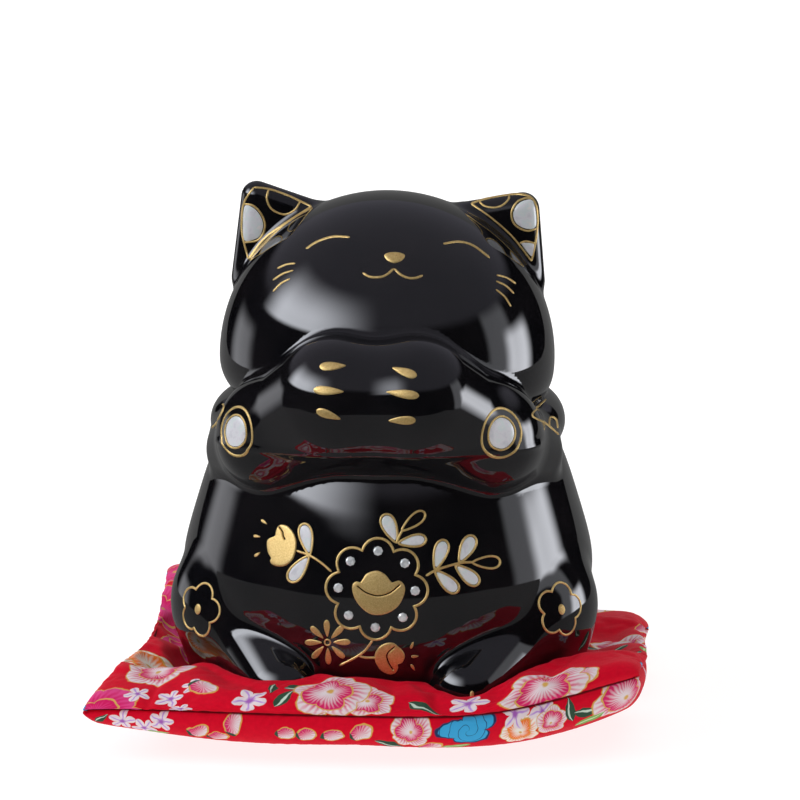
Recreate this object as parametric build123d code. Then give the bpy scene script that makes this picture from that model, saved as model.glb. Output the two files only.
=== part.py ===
"""Greeting cat coin bank on a stuffed cushion.

Millimetres, +Z up, the cat faces -Y. The origin is on the table under the middle of the cushion.
The cat is drawn in its own frame, with its foot ring on z = 0 and its turning axis on Z, and is then set down
on the cushion. Its clay pieces are cast apart and luted together, so they meet face to face.
"""

import math
import os

from build123d import *

# ---- driving sizes ----
CUSHION_W = 236.0  # left to right
CUSHION_D = 224.0  # front to back
CUSHION_H = 34.0
CLOTH = 1.0  # thickness of the cushion's cloth
SEAT_GAP = 1.2  # from the cat to the cushion round it
EDGE_R, LIP_R = 12.0, 4.0  # round edges of the cushion, and of its dent
SEAT_Z = 14.0  # height of the foot ring above the table, in the dent of the cushion
CAT_X, CAT_Y = 4.0, 4.0  # where the cat's axis stands on the cushion
WALL = 4.5  # thickness of the clay
RELIEF = 0.6  # how far gold and inlays stand off the glaze

# torso and head: (radius, height) up the outside, joined by arcs that run on from one another
TORSO = [(77, 0), (90.6, 24), (83.5, 70), (76, 95), (68, 110), (50, 121)]
HEAD = [(45, 108), (71.6, 138), (66, 166), (48, 194), (28, 206), (0, 210)]
TORSO_STARTS, HEAD_STARTS = 31.0, 6.0  # slope of the first arc, in degrees
NECK_Z = 114.5  # the flat joint between torso and head
HEAD_TILT = 2.5  # the head leans to one side, as it was luted

RECESS_R, RECESS_H = 60.0, 14.0  # hollow under the base
HOLE_R = 21.0  # hole for the stopper, in the floor of the torso
NECK_R = 30.0  # way from the head down into the torso
SLOT_W, SLOT_H, SLOT_Z = 38.0, 5.6, 163.0  # coin slot in the back of the head
EAR_FRONT, EAR_THICK = 1.0, 18.0  # the ears' faces, in front of the head's axis

STOPPER_GAP = 0.05  # radial clearance of the rubber stopper
STOPPER_FLANGE_R, STOPPER_FLANGE_H = 26.0, 2.5
STOPPER_PLUG_H = 7.5

# arms, legs and tail of the left side: balls (centre, radius) and the cones that touch them in turn
ARM = [((-56.5, -20, 100.5), 19.0), ((-42, -50, 115), 21.5), ((-15.5, -72, 130.5), 27.5)]
LEG = [((-63, -26, 35), 29.0), ((-38, -76, 15), 17.0)]
TAIL = [((0, 76, 25), 13.0), ((0, 84, 48), 11.0)]

# the artwork is laid out on a plane that leans back and turns a little, because the face looks up
ART_LEAN, ART_TURN = 10.0, 4.0
LINE = 0.8  # width of a gold line
MEDALLION = (-4.3, 39.0)  # middle of the flower on the belly, on the artwork plane
CRYSTAL_R = 1.9
CRYSTAL_RING_R = 15.7


# ---- helpers ----
def turned(outline, starts, by=0.0):
    """A solid turned about Z from an outline of (radius, height) points, with its outside moved out by an amount."""
    slope = math.radians(starts)
    edges = []
    for (r0, z0), (r1, z1) in zip(outline, outline[1:]):
        chord = math.atan2(z1 - z0, r1 - r0)
        if not r1:  # the last arc crosses the axis level
            chord = (math.pi + slope) / 2
            z1 = z0 - r0 * math.tan(chord)
        bulge = math.dist((r0, z0), (r1, z1)) / 2 * math.tan((chord - slope) / 2)
        ends = 2 * chord - slope
        middle = ((r0 + r1) / 2 + bulge * math.sin(chord), (z0 + z1) / 2 - bulge * math.cos(chord))
        arc = [(r + by * math.sin(a) if r else 0, 0, z - by * math.cos(a))
               for (r, z), a in (((r0, z0), slope), (middle, chord), ((r1, z1), ends))]
        edges.append(ThreePointArc(*arc))
        slope = ends
    (low_r, _, low), (high_r, _, high) = tuple(edges[0] @ 0), tuple(edges[-1] @ 1)
    edges += [Line((0, 0, high), (0, 0, low)), Line((0, 0, low), (low_r, 0, low))]
    if high_r:
        edges.append(Line((high_r, 0, high), (0, 0, high)))
    return revolve(make_face(Curve() + edges), axis=Axis.Z)


def bean(start, start_r, end, end_r):
    """A ball at each end and the cone that touches both."""
    axis = Vector(*end) - Vector(*start)
    length = axis.length
    lean = math.asin((start_r - end_r) / length)
    a = (start_r * math.sin(lean), start_r * math.cos(lean))
    b = (length + end_r * math.sin(lean), end_r * math.cos(lean))
    half = (math.pi / 2 + lean) / 2
    near = ThreePointArc((-start_r, 0), (-start_r * math.cos(half), start_r * math.sin(half)), a)
    half = (math.pi / 2 - lean) / 2
    far = ThreePointArc(b, (length + end_r * math.cos(half), end_r * math.sin(half)), (length + end_r, 0))
    outline = make_face(Curve() + [near, Line(a, b), far, Line((length + end_r, 0), (-start_r, 0))])
    return Plane(origin=start, z_dir=axis) * Rot(0, -90, 0) * revolve(outline, axis=Axis.X)


def limb(stations, by=0.0):
    """The beans between balls in a row, with their skin moved out by a small amount."""
    pairs = zip(stations, stations[1:])
    return Part() + [bean(start, r0 + by, end, r1 + by) for (start, r0), (end, r1) in pairs]


def mirrored(shape):
    return mirror(shape, about=Plane.YZ)


def biggest(shape):
    """The largest solid of a shape, without the scraps that a cut leaves inside its neighbour."""
    return shape.solids().sort_by(SortBy.VOLUME)[-1]


def slab(z_low, z_high):
    """All the space between two heights."""
    size = 400
    return Pos(0, 0, (z_low + z_high) / 2) * Box(size, size, z_high - z_low)


def art_plane(turn=ART_TURN, lean=ART_LEAN):
    """A plane that faces the viewer from the front, turned about Z and leaning back."""
    t, e = math.radians(turn), math.radians(lean)
    out = (math.sin(t) * math.cos(e), -math.cos(t) * math.cos(e), math.sin(e))
    return Plane(origin=(0, 0, 0), x_dir=(math.cos(t), math.sin(t), 0), z_dir=out)


def relief(art, skin, bodies, plane=None, near=20.0, far=130.0):
    """Thin solids that follow a curved body: the art, pushed along its plane's normal, between bodies and skin."""
    plane = plane or art_plane()
    piece = extrude(plane * Pos(0, 0, near) * art, amount=far - near) & skin
    for body in bodies:
        piece -= body
    return piece


def around(count, radius, shape, first=90.0):
    """Copies of a flat shape on a circle, each turned to point outward from +Y."""
    return Sketch() + [Rot(0, 0, first - 90 + 360 * i / count) * Pos(0, radius) * shape for i in range(count)]


def hull(*shapes):
    """The flat shape that a string round all the given shapes would enclose."""
    return make_hull((Sketch() + list(shapes)).edges())


def leaf(root, tip, width, inset=0.0):
    """A leaf with a round tip that narrows to its root, inset all round."""
    root, tip = Vector(*root), Vector(*tip)
    along = (tip - root).normalized()
    return hull(Pos(tip - along * width / 2) * Circle(width / 2 - inset),
                Pos(root + along * (0.5 + 3 * inset)) * Circle(0.5 - inset / 3))


def jointed(points, width=LINE):
    """A line of even width with round joints through its points."""
    dots = [Pos(*point) * Circle(width / 2) for point in points]
    return Sketch() + [hull(a, b) for a, b in zip(dots, dots[1:])]


def stroke(points, width=LINE):
    """A smooth line of even width through its points."""
    line = Spline(*points) if len(points) > 2 else Line(*points)
    return trace(line, line_width=width)


# ---- the clay pieces ----
def torso_and_cavity():
    outer = turned(TORSO, TORSO_STARTS) & slab(-1, NECK_Z)
    cavity = turned(TORSO, TORSO_STARTS, -WALL) & slab(RECESS_H + WALL, NECK_Z - WALL)
    return outer, cavity


def head_lean():
    """The turn that leans an upright head to one side, about its foot."""
    return Pos(0, 0, NECK_Z) * Rot(0, HEAD_TILT, 0) * Pos(0, 0, -NECK_Z)


def head_and_cavity():
    outer = head_lean() * turned(HEAD, HEAD_STARTS) & slab(NECK_Z, 300)
    cavity = head_lean() * turned(HEAD, HEAD_STARTS, -WALL) & slab(NECK_Z + WALL, 300)
    return outer, cavity


def coin_slot():
    return Plane.XZ.offset(-10) * Pos(0, SLOT_Z) * extrude(SlotOverall(SLOT_W, SLOT_H), amount=-90)


def ear(head):
    """A rounded triangle with soft edges, seated on the side of the head."""
    corners = [(Pos(-58.5, 205.5), 7.0), (Pos(-60.5, 166), 6.0), (Pos(-29, 196), 6.0)]
    outline = hull(*[place * Circle(r) for place, r in corners])
    block = Plane.XZ.offset(EAR_FRONT - EAR_THICK) * extrude(outline, amount=EAR_THICK)
    rims = block.faces().sort_by(Axis.Y)
    block = fillet(rims[0].edges() + rims[-1].edges(), radius=5.5)
    return block - head


def stopper():
    """A plug that tapers into the floor's hole, with a flange below it and a grip bar across its hollow."""
    bottom = RECESS_H - STOPPER_FLANGE_H
    plug = Pos(0, 0, RECESS_H) * Cone(HOLE_R - STOPPER_GAP, HOLE_R - 0.8, STOPPER_PLUG_H,
                                      align=(Align.CENTER, Align.CENTER, Align.MIN))
    flange = Pos(0, 0, bottom + STOPPER_FLANGE_H / 2) * Cylinder(STOPPER_FLANGE_R, STOPPER_FLANGE_H)
    hollow = Pos(0, 0, bottom + 3.5) * Cylinder(14, 7)
    grip = Pos(0, 0, bottom + 3.5) * Box(30, 4, 7)
    return plug + flange - hollow + (grip & hollow)


def shawl(torso, head, arms):
    """A rolled collar round the back of the neck that tapers to a point at each side of the chest."""
    roll = Pos(0, 0, 110) * Torus(66.5, 10)
    side_view = Polyline((-46, 117), (-22, 125), (90, 132), (90, 92), (-14, 96), close=True)
    reach = extrude(Plane.YZ * make_face(side_view), amount=100, both=True)
    piece = (roll & reach) - torso - head
    for arm in arms:
        piece -= arm
    return piece


# ---- flat artwork, on the artwork plane ----
def scallop(lobe_at, lobe_r, count=8):
    return around(count, lobe_at, Circle(lobe_r)) + Circle(lobe_at)


def ingot():
    bowl = Ellipse(11, 9.4) & Pos(0, -5.2) * Rectangle(30, 12)
    horns = Sketch() + [Pos(x, 1.2) * Circle(2.6) for x in (-8.4, 8.4)]
    return Pos(0, -0.4) * (bowl + horns + Pos(0, 2.2) * Ellipse(6.4, 5.8))


def bud(turn):
    return Rot(0, 0, turn) * (Ellipse(6.2, 7.4) + Pos(-2.6, 5.2) * Circle(3.2))


# root and tip of each leaf: on the artwork plane, from the middle of the medallion
LEAVES = [((24.2, 8.4), (26.8, 19.6)), ((24.2, 5.9), (31.6, -1.6)), ((33.6, 11.0), (38.2, 21.6)),
          ((32.2, 8.5), (39.6, 1.4)), ((-27.4, 11.4), (-28.9, 22.6)), ((-27.4, 8.9), (-34.0, -0.2)),
          ((7.2, 20.4), (3.0, 30.4)), ((9.6, 19.6), (18.6, 22.6))]
OPEN_LEAVES = [((39.2, 10.7), (50.2, 10.7)), ((9.8, 23.2), (16.8, 33.0))]
STEMS = [[(19.6, 5.4), (30.0, 9.2), (39.4, 10.7)], [(-18.6, 5.6), (-22.6, 7.4), (-27.4, 10.2), (-33, 11.8)],
         [(7.2, 17.4), (8.0, 19.8), (9.8, 22.9)], [(-1.4, -20.4), (-5.4, -26.6), (-12.6, -30.6)],
         [(-6.6, -27.6), (-2.2, -28.2), (2.0, -27.6)]]
SPARKS = [(-47.2, 23.6, -30), (-49, 17.4, 0), (-48.6, 10.4, 30), (15, -22.2, 65), (16.4, -27.6, 0),
          (15.2, -32.6, -50)]
LEAF_W = 4.6
BUD_LEFT, BUD_LOW = (-38.8, 17.0), (5.6, -28.2)
DAISY = (-19.9, -21.9)


def belly_art():
    """Node name to flat artwork, from the middle of the medallion."""
    outlines = Sketch() + [leaf(root, tip, LEAF_W) for root, tip in LEAVES + OPEN_LEAVES]
    holes = Sketch() + [leaf(root, tip, LEAF_W, 0.7) for root, tip in LEAVES + OPEN_LEAVES]
    inlays = Sketch() + [leaf(root, tip, LEAF_W, 0.8) for root, tip in LEAVES]
    petals = around(8, 5.4, Ellipse(1.15, 2.7), first=92)
    sparks = [Pos(x, y) * Rot(0, 0, turn) * Rectangle(3, 1) for x, y, turn in SPARKS]
    bud_left, bud_low = Pos(*BUD_LEFT) * bud(20), Pos(*BUD_LOW) * bud(-80)
    stems = Sketch() + [jointed(points) for points in STEMS]
    stems = stems - scallop(14.3, 7.1) - outlines - bud_left - bud_low
    return {
        "medallion_rim": scallop(14.3, 6.9) - scallop(14.3, 6.9 - LINE),
        "medallion_crystals": around(8, CRYSTAL_RING_R, Circle(CRYSTAL_R)),
        "ingot_badge": ingot(),
        "sprig_stems": stems,
        "leaf_rims": outlines - holes,
        "leaf_inlays": inlays,
        "bud_badge_left": bud_left,
        "bud_badge_low": bud_low,
        "daisy_petals": Pos(*DAISY) * petals,
        "daisy_ring": Pos(*DAISY) * (Circle(1.5) - Circle(0.7)),
        "spark_strokes": Sketch() + sparks,
    }


HAUNCH_FLOWER_Z, HAUNCH_TURN = 33.0, 66.0


def haunch_flower():
    """Five petals in outline and a filled middle."""
    petals = around(5, 6.2, Circle(4.7)) + Circle(6)
    inner = around(5, 6.2, Circle(4.7 - LINE)) + Circle(6)
    return (petals - inner) + Circle(1.5)


CLAWS = {  # point, round end: on the artwork plane
    "left": [((-16.3, 130.3), (-27.3, 129.9)), ((-17.1, 119.8), (-29.7, 120.6)), ((-18.4, 108.8), (-28.5, 112.4))],
    "right": [((1.9, 129.5), (12.1, 126.0)), ((-0.5, 119.8), (13.1, 118.1)), ((0.3, 108.2), (11.7, 108.4))],
}
CLAW_W = 3.6
ARM_DISC = {"left": (-0.757, -0.645, 0.1), "right": (0.66, -0.745, 0.1)}  # which way the badge on each wrist faces


def face_art():
    """Node name to flat artwork on the head."""
    eye = [(-8, -2.6), (-2.4, 0.8), (3.6, 2.0), (8.6, 1.0)]
    whiskers = [[(-1.8, 4.4), (1.6, 5.8), (4.6, 6.0)], [(-4.4, 0.2), (-0.4, 2.6), (4.2, 3.4)],
                [(-4.2, -5.2), (-1.2, -1.8), (4.0, 0.4)]]
    smile = [[(-12.2, 1.4), (-8.4, -1.0), (-3.2, -0.6), (0, 2.2)], [(0, 2.2), (3.4, -0.8), (8.4, -1.8), (12.6, 0.2)]]
    marks = Sketch() + [stroke(points, 0.7) for points in whiskers]
    return {
        "eye_line_left": Pos(-25.2, 187.0) * stroke(eye, 0.9),
        "eye_line_right": Pos(32.6, 184.2) * mirror(stroke(eye, 0.9), about=Plane.YZ),
        "nose_badge": Pos(4.0, 177.6) * hull(Pos(-3, 1.2) * Circle(1.5), Pos(3, 1.2) * Circle(1.5),
                                             Pos(0, -1.2) * Circle(1.6)),
        "mouth_line": Pos(4.0, 169.6) * (Sketch() + [stroke(points, 1.1) for points in smile]),
        "whiskers_left": Pos(-43.0, 169.6) * marks,
        "whiskers_right": Pos(50.6, 164.8) * mirror(marks, about=Plane.YZ),
    }


def ear_art():
    """The gold triangle inside an ear and the inlays that it holds."""
    triangle = hull(Pos(-58.5, 203.5) * Circle(2.6), Pos(-60.5, 178) * Circle(1), Pos(-37, 202) * Circle(1))
    inside = offset(triangle, amount=-LINE)
    inlays = inside & (Pos(-61, 191.5) * Circle(7.6))
    return triangle - inside, inlays


# ---- the cushion ----
def dented_pillow(inset):
    """A block with round edges, dented by the cat, inset all round.

    The dent is a little wider than the cat, which lifts straight out of it."""
    flat = RectangleRounded(CUSHION_W - 2 * inset, CUSHION_D - 2 * inset, 18 - inset)
    block = Pos(0, 0, inset) * extrude(flat, amount=CUSHION_H - 2 * inset)
    rims = block.faces().sort_by(Axis.Z)
    block = fillet(rims[0].edges() + rims[-1].edges(), radius=EDGE_R - inset)
    wide = SEAT_GAP + inset
    rounds = [Circle(90.8 + wide)]
    for (x, y, _), r in LEG:
        rounds += [Pos(x * k, y) * Circle(min(r, 26) + wide) for k in (1, -1)]
    block -= Pos(CAT_X, CAT_Y, SEAT_Z - inset) * extrude(hull(*rounds), amount=60)
    lip = block.faces().filter_by(Axis.Z).sort_by(Axis.Z)[-1].inner_wires()[0].edges()
    return fillet(lip, radius=LIP_R - inset)


def cushion():
    filling = dented_pillow(CLOTH)
    cloth = dented_pillow(0) - filling
    rim = slab(SEAT_Z - CLOTH, CUSHION_H / 2) - Pos(0, 0, CUSHION_H / 2) * Cylinder(104, CUSHION_H)
    lower = cloth & (slab(-1, SEAT_Z - CLOTH) + rim)
    return {"cushion_top_cover": cloth - lower, "cushion_bottom_cover": lower, "cushion_filling": filling}


# ---- putting it together ----
def build():
    torso, torso_cavity = torso_and_cavity()
    head, head_cavity = head_and_cavity()
    neck = Pos(0, 0, 118) * Cylinder(NECK_R, 40)
    recess = Pos(0, 0, RECESS_H / 2) * Cylinder(RECESS_R, RECESS_H)
    hole = Pos(0, 0, RECESS_H) * Cylinder(HOLE_R, 20)

    left_half = Pos(-100, 0, 100) * Box(200, 300, 300)
    arm_left = biggest((limb(ARM) & left_half) - torso - head)
    arms = {"left": arm_left, "right": biggest(mirrored(limb(ARM) & left_half) - torso - head)}
    arm_skin = limb(ARM, RELIEF) & left_half
    arm_skins = {"left": arm_skin, "right": mirrored(arm_skin)}
    leg_left = biggest((limb(LEG) & slab(0, 100)) - torso)
    leg_skin = limb(LEG, RELIEF)
    lean = head_lean()
    ear_left = ear(turned(HEAD, HEAD_STARTS))
    ears = {"left": lean * ear_left, "right": lean * mirrored(ear_left)}

    pieces = {
        "torso_shell": torso - torso_cavity - neck - recess - hole,
        "head_shell": head - head_cavity - neck - coin_slot(),
        "arm_left": arms["left"],
        "arm_right": arms["right"],
        "leg_left": leg_left,
        "leg_right": mirrored(leg_left),
        "ear_left": ears["left"],
        "ear_right": ears["right"],
        "tail": biggest((limb(TAIL) & slab(0, 200)) - torso),
        "shawl": shawl(torso, head, arms.values()),
        "stopper": stopper(),
    }

    skin = turned(TORSO, TORSO_STARTS, RELIEF)
    for name, art in belly_art().items():
        pieces[name] = relief(Pos(*MEDALLION) * art, skin, [torso])
    head_skin = lean * turned(HEAD, HEAD_STARTS, RELIEF)
    for name, art in face_art().items():
        pieces[name] = relief(art, head_skin, [head])

    rim, inlay = ear_art()
    flower = Pos(0, HAUNCH_FLOWER_Z) * haunch_flower()
    (x, y, z), wrist_r = ARM[1]
    for side, k in (("left", -1), ("right", 1)):
        haunch = leg_skin if k < 0 else mirrored(leg_skin)
        pieces[f"haunch_flower_{side}"] = relief(flower, skin + haunch, [torso, pieces[f"leg_{side}"]],
                                                 art_plane(HAUNCH_TURN * k, 0))
        marks = Sketch() + [leaf(point, tip, CLAW_W) for point, tip in CLAWS[side]]
        bodies = [arms[side], torso, head]
        pieces[f"claw_marks_{side}"] = relief(marks, arm_skins[side], bodies)
        facing = Vector(*ARM_DISC[side]).normalized()
        plane = Plane(origin=Vector(-x * k, y, z) + facing * wrist_r, z_dir=facing)
        for name, art in (("ring", Circle(10.5) - Circle(9.6)), ("inlay", Circle(6.6))):
            pieces[f"arm_{name}_{side}"] = relief(art, arm_skins[side], bodies, plane, -6, 12)
        for name, art in (("rim", rim), ("inlay", inlay)):
            flat = art if k < 0 else mirror(art, about=Plane.YZ)
            plate = Plane.XZ.offset(EAR_FRONT) * extrude(flat, amount=RELIEF)
            pieces[f"ear_{name}_{side}"] = lean * plate - head

    stand = Pos(CAT_X, CAT_Y, SEAT_Z)
    placed = {name: stand * shape for name, shape in pieces.items()}
    placed.update(cushion())
    return placed


def main():
    os.makedirs("parts", exist_ok=True)
    for name, shape in build().items():
        solids = shape.solids()
        print(name, len(solids), "solids", round(sum(s.volume for s in solids)), "mm3")
        export_step(Compound(label=name, children=list(solids)), f"parts/{name}.step")


main()
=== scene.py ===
import math
from functools import partialmethod

import bpy
import numpy as np
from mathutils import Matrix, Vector


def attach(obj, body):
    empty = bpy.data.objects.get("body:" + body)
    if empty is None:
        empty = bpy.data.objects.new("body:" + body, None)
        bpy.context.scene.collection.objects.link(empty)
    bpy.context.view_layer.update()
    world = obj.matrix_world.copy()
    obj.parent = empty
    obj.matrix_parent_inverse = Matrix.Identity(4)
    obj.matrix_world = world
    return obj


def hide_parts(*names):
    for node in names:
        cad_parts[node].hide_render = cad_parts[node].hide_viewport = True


# Shapes are worked out in millimetres in the cat's own frame: its foot ring on z = 0, its axis on Z, facing -Y.
# They go into Blender in metres in the row frame.
CAT = np.array([4.0, 4.0, 14.0])
VIEW_TURN, VIEW_RISE = 4.0, 10.0  # degrees, from which the drawings are pushed onto the cat

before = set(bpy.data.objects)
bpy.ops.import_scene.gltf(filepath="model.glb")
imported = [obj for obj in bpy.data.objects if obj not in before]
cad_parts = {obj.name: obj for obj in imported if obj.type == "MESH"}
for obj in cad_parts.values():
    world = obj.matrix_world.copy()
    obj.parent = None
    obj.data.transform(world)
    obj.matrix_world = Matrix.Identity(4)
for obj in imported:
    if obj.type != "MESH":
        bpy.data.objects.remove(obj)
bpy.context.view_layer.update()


# ---------------------------------------------------------------- distance field of the glazed clay
def blend_min(a, b, k):
    h = np.maximum(k - np.abs(a - b), 0) / k
    return np.minimum(a, b) - h * h * k * 0.25


def blend_max(a, b, k):
    return -blend_min(-a, -b, k)


def capsule(p, a, ra, b, rb):
    """Two balls and the cone that touches both."""
    a, b = np.asarray(a, p.dtype), np.asarray(b, p.dtype)
    ba = b - a
    l2 = float(ba @ ba)
    rr = ra - rb
    a2 = l2 - rr * rr
    pa = p - a
    y = pa @ ba
    z = y - l2
    x2 = ((pa * l2 - y[:, None] * ba) ** 2).sum(1)
    y2, z2 = y * y * l2, z * z * l2
    k = math.copysign(1, rr) * rr * rr * x2
    middle = (np.sqrt(x2 * a2 / l2) + y * rr) / l2 - ra
    far = np.sqrt(x2 + z2) / l2 - rb
    near = np.sqrt(x2 + y2) / l2 - ra
    return np.where(np.sign(z) * a2 * z2 > k, far, np.where(np.sign(y) * a2 * y2 < k, near, middle))


def plate(p, corners, r):
    """A triangle with a round edge all round, as thick as two radii."""
    a, b, c = (np.asarray(v, p.dtype) for v in corners)
    n = np.cross(b - a, a - c)
    inside = 0
    best = None
    for v, w in ((a, b), (b, c), (c, a)):
        e, q = w - v, p - v
        inside = inside + np.sign(q @ np.cross(e, n))
        t = np.clip(q @ e / (e @ e), 0, 1)
        d = ((q - t[:, None] * e) ** 2).sum(1)
        best = d if best is None else np.minimum(best, d)
    flat = ((p - a) @ n) ** 2 / (n @ n)
    return np.sqrt(np.where(inside >= 2, flat, best)) - r


def egg(p, centre, half, below, below_power):
    """A solid of revolution about Z: an ellipsoid above its widest level, with its own depth and power below it."""
    q = p - np.asarray(centre, p.dtype)
    upper = q[:, 2] > 0
    r = np.hypot(q[:, 0], q[:, 1]) / half[0]
    c = np.where(upper, half[1], below)
    z = np.abs(q[:, 2]) / c
    power = np.where(upper, 2.0, below_power).astype(p.dtype)
    g = (r ** power + z ** power + 1e-9) ** (1 / power)
    slope = g ** (1 - power) * np.hypot(r ** (power - 1) / half[0], z ** (power - 1) / c)
    return (g - 1) / np.maximum(slope, 1e-3)


def ball(p, centre, half):
    q = (p - np.asarray(centre, p.dtype)) / np.asarray(half, p.dtype)
    g = np.sqrt((q ** 2).sum(1)) + 1e-9
    slope = np.sqrt(((q / np.asarray(half, p.dtype)) ** 2).sum(1)) / g
    return (g - 1) / np.maximum(slope, 1e-3)


TORSO_Z = np.array([-14, 0, 10, 24, 38, 52, 66, 80, 94, 106, 116, 124, 134.0])
TORSO_R = np.array([72, 76.5, 79.8, 84.0, 87.0, 88.0, 85.2, 81.0, 76.3, 71.0, 65.6, 60.0, 51.0])


def smooth_curve(xs, ys):
    """A natural cubic spline."""
    n = len(xs)
    h = np.diff(xs)
    m = np.zeros((n, n))
    rhs = np.zeros(n)
    m[0, 0] = m[-1, -1] = 1
    for i in range(1, n - 1):
        m[i, i - 1], m[i, i], m[i, i + 1] = h[i - 1], 2 * (h[i - 1] + h[i]), h[i]
        rhs[i] = 6 * ((ys[i + 1] - ys[i]) / h[i] - (ys[i] - ys[i - 1]) / h[i - 1])
    k = np.linalg.solve(m, rhs)

    def at(x):
        x = np.clip(x, xs[0], xs[-1])
        i = np.clip(np.searchsorted(xs, x) - 1, 0, n - 2)
        a, b = xs[i + 1] - x, x - xs[i]
        return ((k[i] * a ** 3 + k[i + 1] * b ** 3) / (6 * h[i]) + (ys[i] / h[i] - k[i] * h[i] / 6) * a
                + (ys[i + 1] / h[i] - k[i + 1] * h[i] / 6) * b)
    return at


torso_radius = smooth_curve(TORSO_Z, TORSO_R)
TORSO_X, TORSO_TOP, TORSO_SLOPE = 0.1, 122, 0.97
# Balls of the arm and the leg on the +X side, each with its radius; those on the -X side mirror them
SHOULDER, WRIST, PAW = ((56.2, -22, 100.5), 19.4), ((42, -50, 112.5), 23.0), ((15.5, -72, 130.5), 27.5)
CUFF, MUFF = ((42, -50, 112.5), 22), ((0, -60, 116.5), 19.5)
THIGH_HALF = (25.5, 32, 30)
HIP, FOOT = ((63, -26, 35), 23), ((38.5, -76, 11), 15.5)
RUMP, SEAT = ((60.5, -20, 36), 27), ((59, -18, 10), 26)
TAIL_ROOT, TAIL_TIP = ((0, 76, 25), 13), ((0, 84, 48), 11)
NECK_Z, HEAD_TILT = 114, math.radians(2.5)
HEAD_AT, HEAD_HALF, CHIN_DEPTH, CHIN_POWER = (-1.3, 0, 138), (71.6, 70.3), 31, 2.5
EARS = [([(-56.8, 8, 204.8), (-61.3, 8, 170), (-33, 8, 196.8)], 6.6),
        ([(57, 8, 200.2), (59.5, 8, 170), (33, 8, 196)], 7.2)]
# The rolled collar: its ring, and how tall the roll is at each bearing from the front
SHAWL_R, SHAWL_Z, SHAWL_DEEP = 65.5, 110.5, 10.5
SHAWL_BEARING, SHAWL_TALL = [50, 60, 78, 110, 180], [0.6, 5.5, 11, 13, 13]
RECESS_R, RECESS_TOP = 60, 14
HOLE_R, HOLE_TOP = 21.05, 23
SLOT_Z, SLOT_HALF_WIDE, SLOT_HALF_TALL, SLOT_FRONT = 163, 19, 2.8, 52


def flip(point, side):
    return (point[0] * side, point[1], point[2])


def limb(p, side, start, end):
    """A capsule from one ball to another: as given (side 1), or mirrored to the -X side (side -1)."""
    (a, ra), (b, rb) = start, end
    return capsule(p, flip(a, side), ra, flip(b, side), rb)


def clay(p):
    """Signed distance, in millimetres, to the outside of the glazed cat."""
    x, y, z = p.T
    r = np.hypot(x, y)
    d = (np.hypot(x - TORSO_X, y) - torso_radius(z)) * TORSO_SLOPE
    d = blend_max(blend_max(d, -z, 9), z - TORSO_TOP, 8)
    for side in (-1, 1):
        leg = blend_min(ball(p, flip(HIP[0], side), THIGH_HALF), limb(p, side, HIP, FOOT), 12)
        leg = blend_min(leg, limb(p, side, RUMP, SEAT), 8)
        d = blend_min(d, blend_max(leg, -z, 9), 4)
    tilt_x = x * math.cos(HEAD_TILT) - (z - NECK_Z) * math.sin(HEAD_TILT)
    tilt_z = (z - NECK_Z) * math.cos(HEAD_TILT) + x * math.sin(HEAD_TILT) + NECK_Z
    head = egg(np.stack([tilt_x, y, tilt_z], 1), HEAD_AT, HEAD_HALF, CHIN_DEPTH, CHIN_POWER)
    for ear, radius in EARS:
        head = blend_min(head, plate(p, ear, radius), 4)
    d = blend_min(d, head, 3)
    around = np.degrees(np.arctan2(np.abs(x), -y))
    tall = np.interp(around, SHAWL_BEARING, SHAWL_TALL).astype(p.dtype)
    roll = np.hypot((r - SHAWL_R) / SHAWL_DEEP, (z - SHAWL_Z) / tall)
    d = blend_min(d, (roll - 1) * np.minimum(tall, 10), 1.5)
    arms = []
    for side in (-1, 1):
        arm = blend_min(limb(p, side, SHOULDER, WRIST), limb(p, side, WRIST, PAW), 9)
        arms.append(blend_min(arm, limb(p, side, CUFF, MUFF), 6))
    d = blend_min(d, blend_min(*arms, 10), 3)
    d = blend_min(d, limb(p, 1, TAIL_ROOT, TAIL_TIP), 4)
    recess = blend_max(r - RECESS_R, z - RECESS_TOP, 2)
    hole = blend_max(r - HOLE_R, z - HOLE_TOP, 1)
    slot = blend_max(np.abs(z - SLOT_Z) - SLOT_HALF_TALL, np.abs(x) - SLOT_HALF_WIDE, 3)
    for cut in (recess, hole, blend_max(slot, SLOT_FRONT - y, 2)):
        d = blend_max(d, -cut, 1.5)
    return d


def unit(v):
    return v / np.linalg.norm(v, axis=1)[:, None]


def slope_of(f, p, step=0.05):
    g = np.empty_like(p)
    for i in range(3):
        e = np.zeros(3)
        e[i] = step
        g[:, i] = (f(p + e) - f(p - e)) / (2 * step)
    return g


def settle(f, p, rounds=4):
    """Moves points along the slope of a field until they lie on its surface."""
    for _ in range(rounds):
        g = slope_of(f, p)
        p = p - g * (f(p) / np.maximum((g ** 2).sum(1), 1e-3))[:, None]
    return p


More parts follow.
